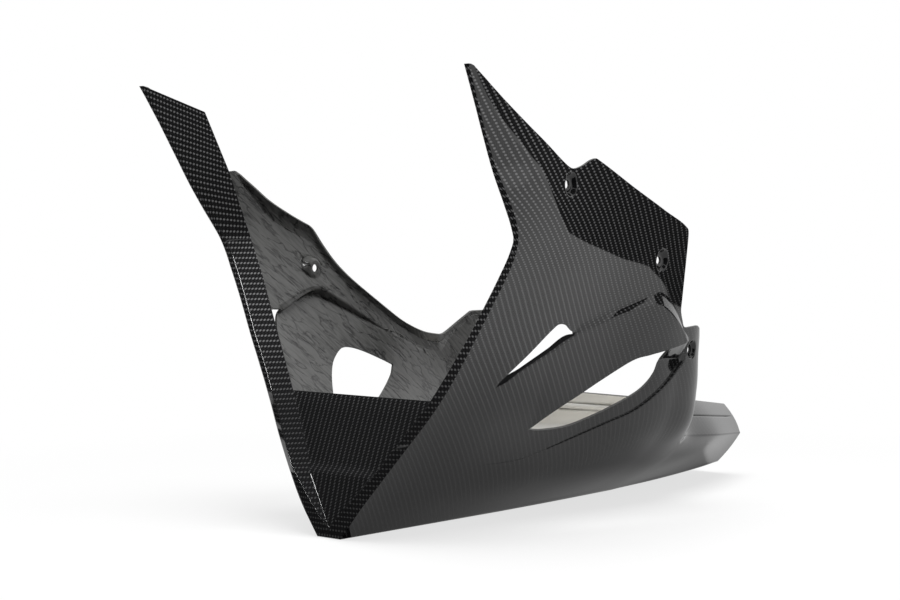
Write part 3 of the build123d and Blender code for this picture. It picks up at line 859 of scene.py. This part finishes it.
def sheet_material():
    """White sheet: matt white where the pan's shadow falls, and further out the white of the room, mixed in
    over the distance from the middle for the camera and the gloss, so that no edge shows."""
    material, nodes, links, shader = fresh_material("white_sheet")
    shader.inputs["Roughness"].default_value = 1.0
    shader.inputs["Specular IOR Level"].default_value = 0.0
    path = nodes.new("ShaderNodeLightPath")
    white = nodes.new("ShaderNodeMix")
    white.data_type = "RGBA"
    bounced = nodes.new("ShaderNodeMath")
    bounced.operation = "MULTIPLY_ADD"
    links.new(path.outputs["Is Glossy Ray"], bounced.inputs[0])
    bounced.inputs[1].default_value = GLOSS_DIM
    links.new(path.outputs["Is Diffuse Ray"], bounced.inputs[2])
    links.new(bounced.outputs[0], white.inputs["Factor"])
    white.inputs["A"].default_value = (0.95, 0.95, 0.95, 1)
    white.inputs["B"].default_value = (0.35, 0.35, 0.35, 1)
    links.new(white.outputs["Result"], shader.inputs["Base Color"])
    place = nodes.new("ShaderNodeTexCoord")
    distance = nodes.new("ShaderNodeVectorMath")
    distance.operation = "LENGTH"
    links.new(place.outputs["Object"], distance.inputs[0])
    spread = nodes.new("ShaderNodeMapRange")
    spread.interpolation_type = "SMOOTHSTEP"
    spread.inputs["From Min"].default_value = GLOW_FROM
    spread.inputs["From Max"].default_value = GLOW_FULL
    links.new(distance.outputs["Value"], spread.inputs["Value"])
    near = nodes.new("ShaderNodeMath")
    near.operation = "MULTIPLY_ADD"
    links.new(path.outputs["Is Camera Ray"], near.inputs[0])
    near.inputs[1].default_value = CAMERA_GLOW
    near.inputs[2].default_value = GLOW_NEAR
    links.new(near.outputs[0], spread.inputs["To Min"])
    seen = nodes.new("ShaderNodeMath")
    seen.operation = "MAXIMUM"
    links.new(path.outputs["Is Camera Ray"], seen.inputs[0])
    links.new(path.outputs["Is Glossy Ray"], seen.inputs[1])
    share = nodes.new("ShaderNodeMath")
    share.operation = "MULTIPLY"
    links.new(seen.outputs[0], share.inputs[0])
    links.new(spread.outputs[0], share.inputs[1])
    glow = nodes.new("ShaderNodeEmission")
    level = nodes.new("ShaderNodeMath")
    level.operation = "MAXIMUM"
    links.new(path.outputs["Is Camera Ray"], level.inputs[0])
    level.inputs[1].default_value = GLOSS_GLOW
    links.new(level.outputs[0], glow.inputs["Strength"])
    mixed = nodes.new("ShaderNodeMixShader")
    links.new(share.outputs[0], mixed.inputs[0])
    links.new(shader.outputs[0], mixed.inputs[1])
    links.new(glow.outputs[0], mixed.inputs[2])
    links.new(mixed.outputs[0], nodes["Material Output"].inputs["Surface"])
    return material


floor_mesh.materials.append(sheet_material())


def gloss_only(mesh):
    """Adds a mesh to the scene as an object that only the gloss of the pan shows."""
    screen = bpy.data.objects.new(mesh.name, mesh)
    screen.visible_camera = False
    screen.visible_diffuse = False
    screen.visible_shadow = False
    bpy.context.collection.objects.link(screen)


CLOTH_UP = 0.0005
CEILING_UP = 1.5
CURTAINS = {
    "rear_curtain": (
        [(-0.47, 0.38, 0.08), (-0.49, 0.27, 0.08)],
        [(-0.47, 0.485, 0.3), (-0.49, 0.27, 0.3)]),
    "rear_drape": (
        [(-0.47, 0.80, 0.29), (-0.49, 0.27, 0.29)],
        [(-0.47, 0.80, 0.6), (-0.49, 0.27, 0.6)]),
    "right_curtain": (
        [(-0.5, -1.8, 0), (0.4, -1.7, 0), (1.2, -1.2, 0), (1.7, -0.3, 0), (1.7, 0.6, 0)],
        [(-0.5, -1.8, 1.4), (0.4, -1.7, 1.5), (1.2, -1.2, 1.5), (1.7, -0.3, 1.3), (1.7, 0.6, 0.9)]),
    "front_curtain": (
        [(1.7, 0.6, 0), (1.4, 1.2, 0), (1.0, 1.8, 0), (0.3, 2.0, 0)],
        [(1.7, 0.6, 0.9), (1.4, 1.2, 0.9), (1.0, 1.8, 1.2), (0.3, 2.0, 1.2)]),
    "floor_cloth": (
        [(0.25, -1.20, CLOTH_UP), (1.20, -1.20, CLOTH_UP)],
        [(0.18, 1.90, CLOTH_UP), (1.20, 1.90, CLOTH_UP)]),
    "ceiling_curtain": (
        [(-0.5, -2, CEILING_UP), (2.2, -2, CEILING_UP)],
        [(-0.5, 2, CEILING_UP), (2.2, 2, CEILING_UP)]),
}
velvet, _, _, velvet_shader = fresh_material("black_velvet")
velvet_shader.inputs["Base Color"].default_value = (0.004, 0.004, 0.004, 1)
velvet_shader.inputs["Specular IOR Level"].default_value = 0.0
for name, (lower_line, upper_line) in CURTAINS.items():
    posts = len(lower_line)
    curtain_mesh = bpy.data.meshes.new(name)
    panes = [(k, k + 1, k + 1 + posts, k + posts) for k in range(posts - 1)]
    curtain_mesh.from_pydata(lower_line + upper_line, [], panes)
    curtain_mesh.materials.append(velvet)
    gloss_only(curtain_mesh)

CARD_X = 1.40
CARD_CORNERS = [(-0.5, 0.95), (0.3, 0.95), (0.3, 1.08), (-0.5, 1.08)]
strip_mesh = bpy.data.meshes.new("strip_card")
strip_mesh.from_pydata([(CARD_X, y, z) for y, z in CARD_CORNERS], [], [(0, 1, 2, 3)])
strip_light, _, _, strip_shader = fresh_material("strip_light")
strip_shader.inputs["Emission Color"].default_value = (1, 1, 1, 1)
strip_shader.inputs["Emission Strength"].default_value = 50.0
strip_mesh.materials.append(strip_light)
gloss_only(strip_mesh)

ROOM_LEVEL = 0.32
world = bpy.data.worlds.new("studio")
bpy.context.scene.world = world
world.use_nodes = True
nodes, links = world.node_tree.nodes, world.node_tree.links
path = nodes.new("ShaderNodeLightPath")
background = nodes["Background"]
background.inputs["Color"].default_value = (1, 1, 1, 1)
mirrored = nodes.new("ShaderNodeMath")
mirrored.operation = "MAXIMUM"
links.new(path.outputs["Is Camera Ray"], mirrored.inputs[0])
links.new(path.outputs["Is Glossy Ray"], mirrored.inputs[1])
seen = nodes.new("ShaderNodeMath")
seen.operation = "MAXIMUM"
links.new(mirrored.outputs[0], seen.inputs[0])
seen.inputs[1].default_value = ROOM_LEVEL
links.new(seen.outputs[0], background.inputs["Strength"])

LAMP_SIDE = 1.6
LAMP_WATTS = 38
LAMP_PLACE = (0.2, 0.3, 1.9)
light_data = bpy.data.lights.new("overhead", "AREA")
light_data.shape = "SQUARE"
light_data.size = LAMP_SIDE
light_data.energy = LAMP_WATTS
light = bpy.data.objects.new("overhead", light_data)
light.location = LAMP_PLACE
light.visible_glossy = False
bpy.context.collection.objects.link(light)

CAMERA_PLACE = (1.2672, 1.0178, 0.236)
CAMERA_AIM = (-0.7547, -0.6561)
LENS = 78.0
SENSOR_WIDTH = 36.0
PICTURE_WIDTH = 900
HORIZON_RISE = 80
camera_data = bpy.data.cameras.new("camera")
camera_data.lens = LENS
camera_data.sensor_width = SENSOR_WIDTH
camera_data.shift_y = -HORIZON_RISE / PICTURE_WIDTH
camera = bpy.data.objects.new("camera", camera_data)
camera.location = CAMERA_PLACE
camera.rotation_euler = (np.pi / 2, 0, np.arctan2(-CAMERA_AIM[0], CAMERA_AIM[1]))
bpy.context.collection.objects.link(camera)
bpy.context.scene.camera = camera
bpy.context.scene.view_settings.view_transform = "Standard"
